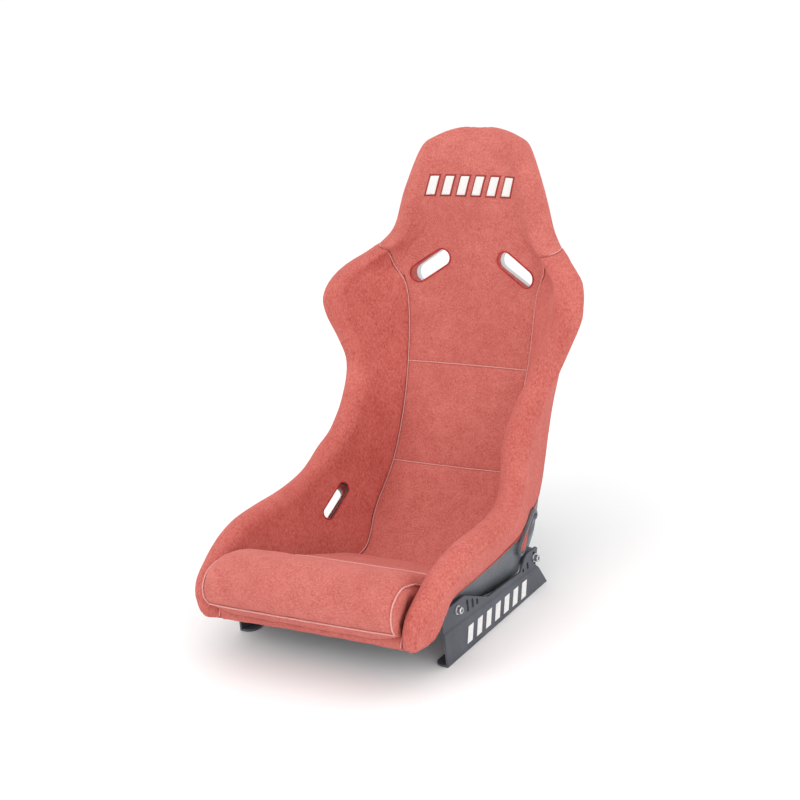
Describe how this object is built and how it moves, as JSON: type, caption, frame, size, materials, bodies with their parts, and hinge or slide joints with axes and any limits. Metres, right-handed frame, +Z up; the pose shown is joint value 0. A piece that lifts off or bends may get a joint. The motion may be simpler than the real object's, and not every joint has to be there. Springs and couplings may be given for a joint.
{
  "type": "racing seat",
  "caption": "Fixed-back racing bucket seat with velour pads, belt slots, lift-out cushion and slotted side brackets.",
  "frame": {"origin": "on the floor, at the centre of the rectangle of the four floor bolt holes in the bracket flanges", "axes": "+X across the seat, to the sitter's left; -Y forwards, towards the knees; +Z up from the floor"},
  "size_m": [0.5768, 0.8321, 0.8188],
  "materials": {
    "velour": "short-pile red velour",
    "edging": "dark red woven bead",
    "tape": "black hook and loop tape",
    "laminate": "grey gel coat over glass laminate",
    "trim": "fine-grained dark grey moulding",
    "collar": "dark red flexible moulding",
    "bracket": "charcoal powder coat",
    "paint": "white printed film",
    "zinc": "bright zinc plating",
    "spacer": "turned aluminium"
  },
  "bodies": {
    "brackets": {"bracket_left": "bracket", "bracket_right": "bracket", "bracket_stripes_left": "paint", "bracket_stripes_right": "paint"},
    "front_pivot": {"front_bolts": "zinc", "front_washers": "zinc", "front_spacers": "spacer"},
    "seat": {"shell": "laminate", "front_lip_pad": "velour", "lower_back_pad": "velour", "middle_back_pad": "velour", "upper_back_pad": "velour", "head_pad": "velour", "bolster_left": "velour", "bolster_right": "velour", "cover_edging": "edging", "hook_strips": "tape", "shoulder_trim_left": "trim", "shoulder_trim_right": "trim", "lap_bezel_left": "trim", "lap_bezel_right": "trim", "lap_collar_left": "collar", "lap_collar_right": "collar", "threaded_inserts": "zinc", "rear_spacers": "spacer", "rear_bolts": "zinc", "rear_washers": "zinc"},
    "cushion": {"seat_cushion": "velour", "loop_strips": "tape"}
  },
  "joints": [
    {"name": "seat_height", "type": "slide", "parent": "brackets", "child": "front_pivot", "axis": [0, 0, 1], "range_m": [-0.004, 0.004]},
    {"name": "seat_tilt", "type": "hinge", "parent": "front_pivot", "child": "seat", "pos_m": [0, -0.135, 0.088], "axis": [1, 0, 0], "range_deg": [-0.8, 0.8]},
    {"name": "cushion_lift", "type": "slide", "parent": "seat", "child": "cushion", "axis": [0, 0, 1], "range_m": [0, 0.2]}
  ]
}
